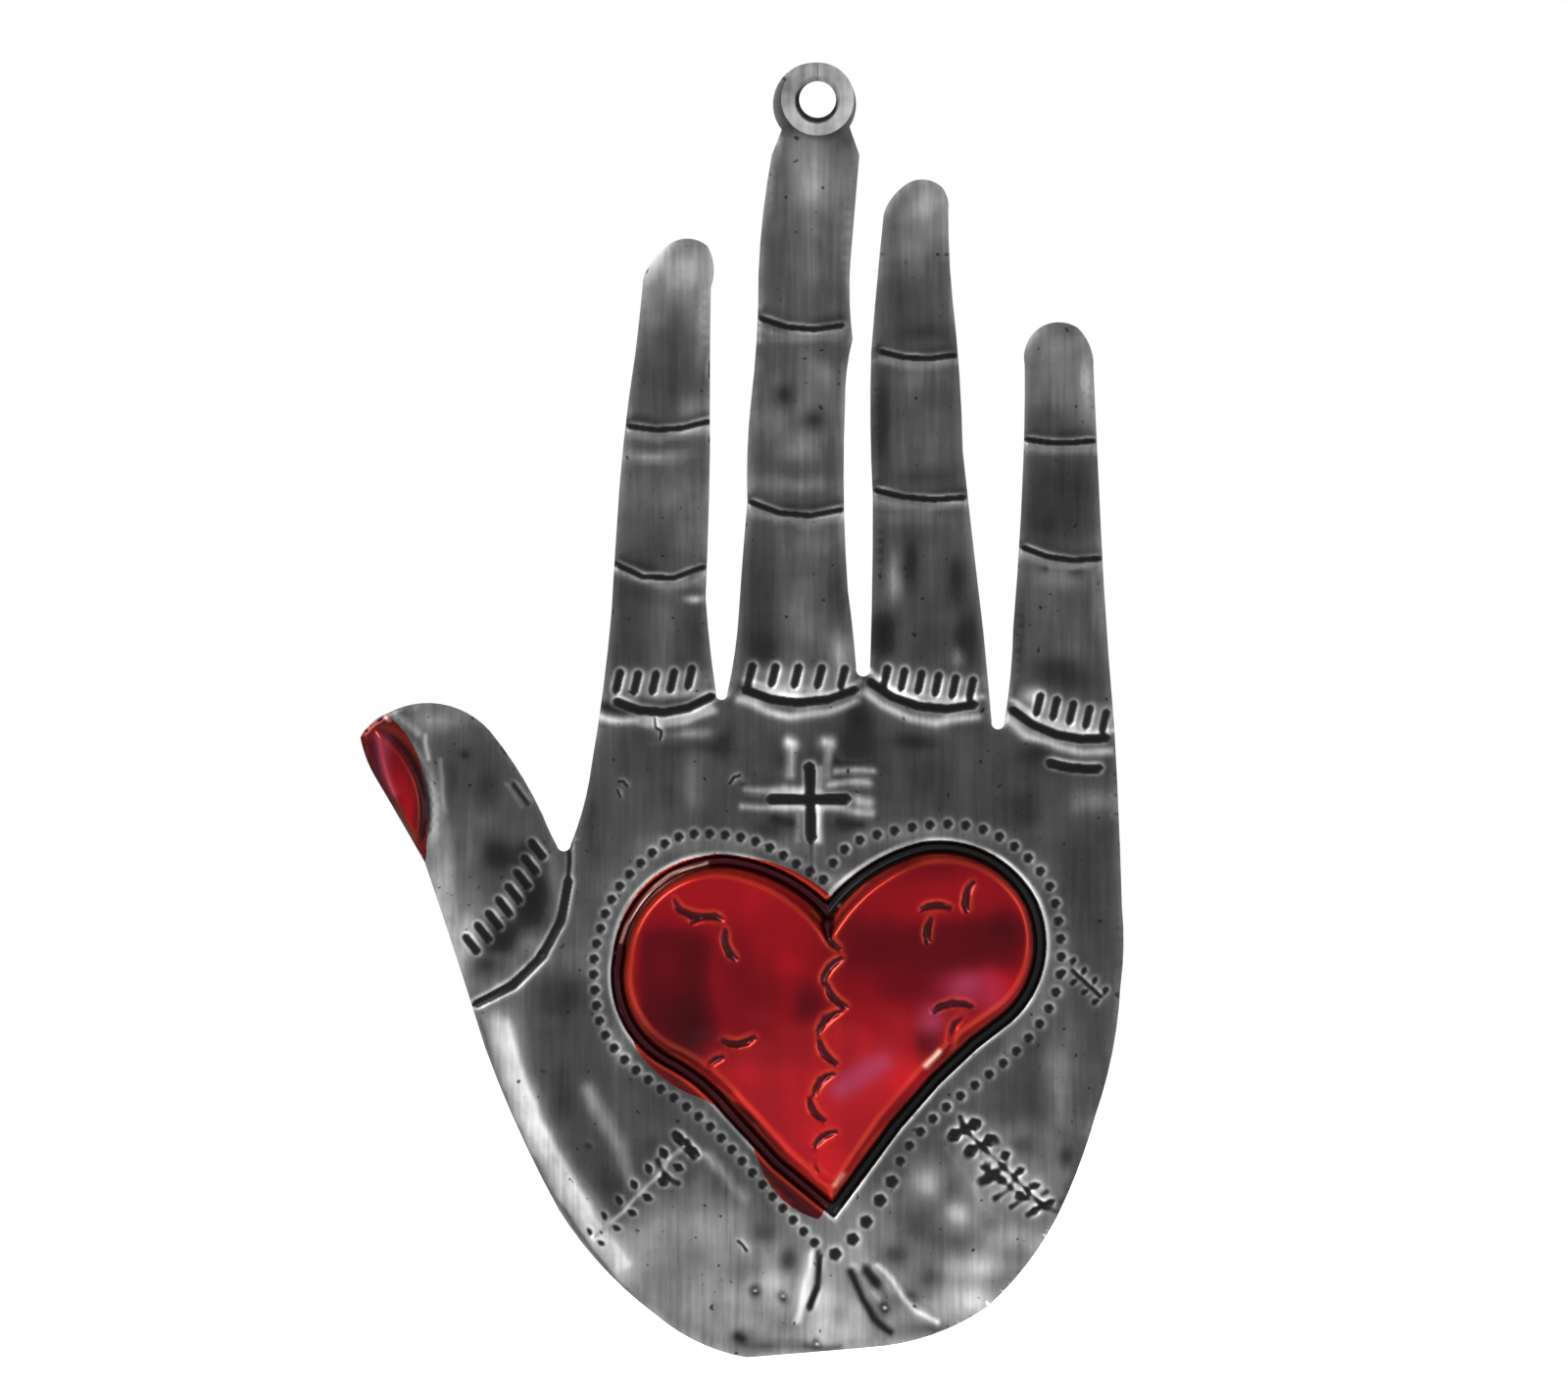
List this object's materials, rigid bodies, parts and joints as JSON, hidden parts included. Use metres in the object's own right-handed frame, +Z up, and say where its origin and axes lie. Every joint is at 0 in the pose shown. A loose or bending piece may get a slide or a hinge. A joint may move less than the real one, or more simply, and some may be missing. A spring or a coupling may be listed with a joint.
{
  "type": "tin hand ornament",
  "caption": "Flat pressed tin hand with a raised red heart, punched borders, cut fingers and a ring eye at the middle fingertip for hanging.",
  "frame": {"origin": "on the axis of the hanging eye, in the front face of the tin sheet", "axes": "+Z up along the fingers, +X to the viewer's right when the front is seen, the front faces -Y"},
  "size_m": [0.0825, 0.0034, 0.1399],
  "materials": {
    "tin": "antiqued, rubbed bright on what stands proud",
    "ring_tin": "satin",
    "red_lacquer": "gloss, translucent",
    "dark_red_lacquer": "gloss, translucent"
  },
  "bodies": {
    "root": {"hand_sheet": "tin", "eye_ring": "ring_tin", "heart_lacquer": "red_lacquer", "thumbnail_lacquer": "dark_red_lacquer"}
  },
  "joints": []
}
